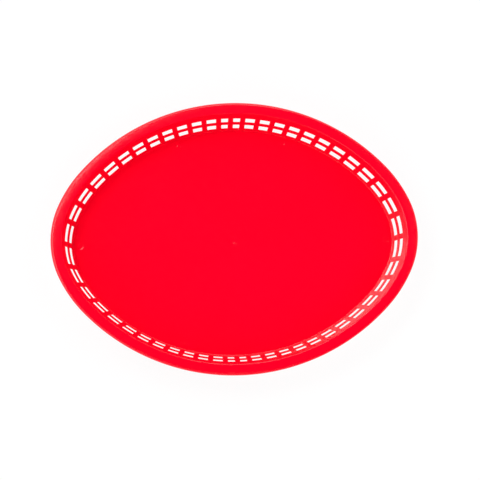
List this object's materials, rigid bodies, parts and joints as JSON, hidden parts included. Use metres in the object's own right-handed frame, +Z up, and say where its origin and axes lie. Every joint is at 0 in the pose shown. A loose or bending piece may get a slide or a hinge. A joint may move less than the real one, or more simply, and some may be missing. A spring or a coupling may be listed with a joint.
{
  "type": "fast food basket",
  "caption": "Oval platter basket moulded in one piece, with a slightly crowned rim, a leaning wall pierced by two rows of windows and a solid base.",
  "frame": {"origin": "middle of the oval foot ring, on the plane that the basket stands on", "axes": "+X along the length, +Y along the width, +Z up, out of the open top"},
  "size_m": [0.3238, 0.2414, 0.0381],
  "materials": {
    "red_plastic": "smooth injection-moulded polypropylene with a soft gloss"
  },
  "bodies": {
    "root": {"basket": "red_plastic"}
  },
  "joints": []
}
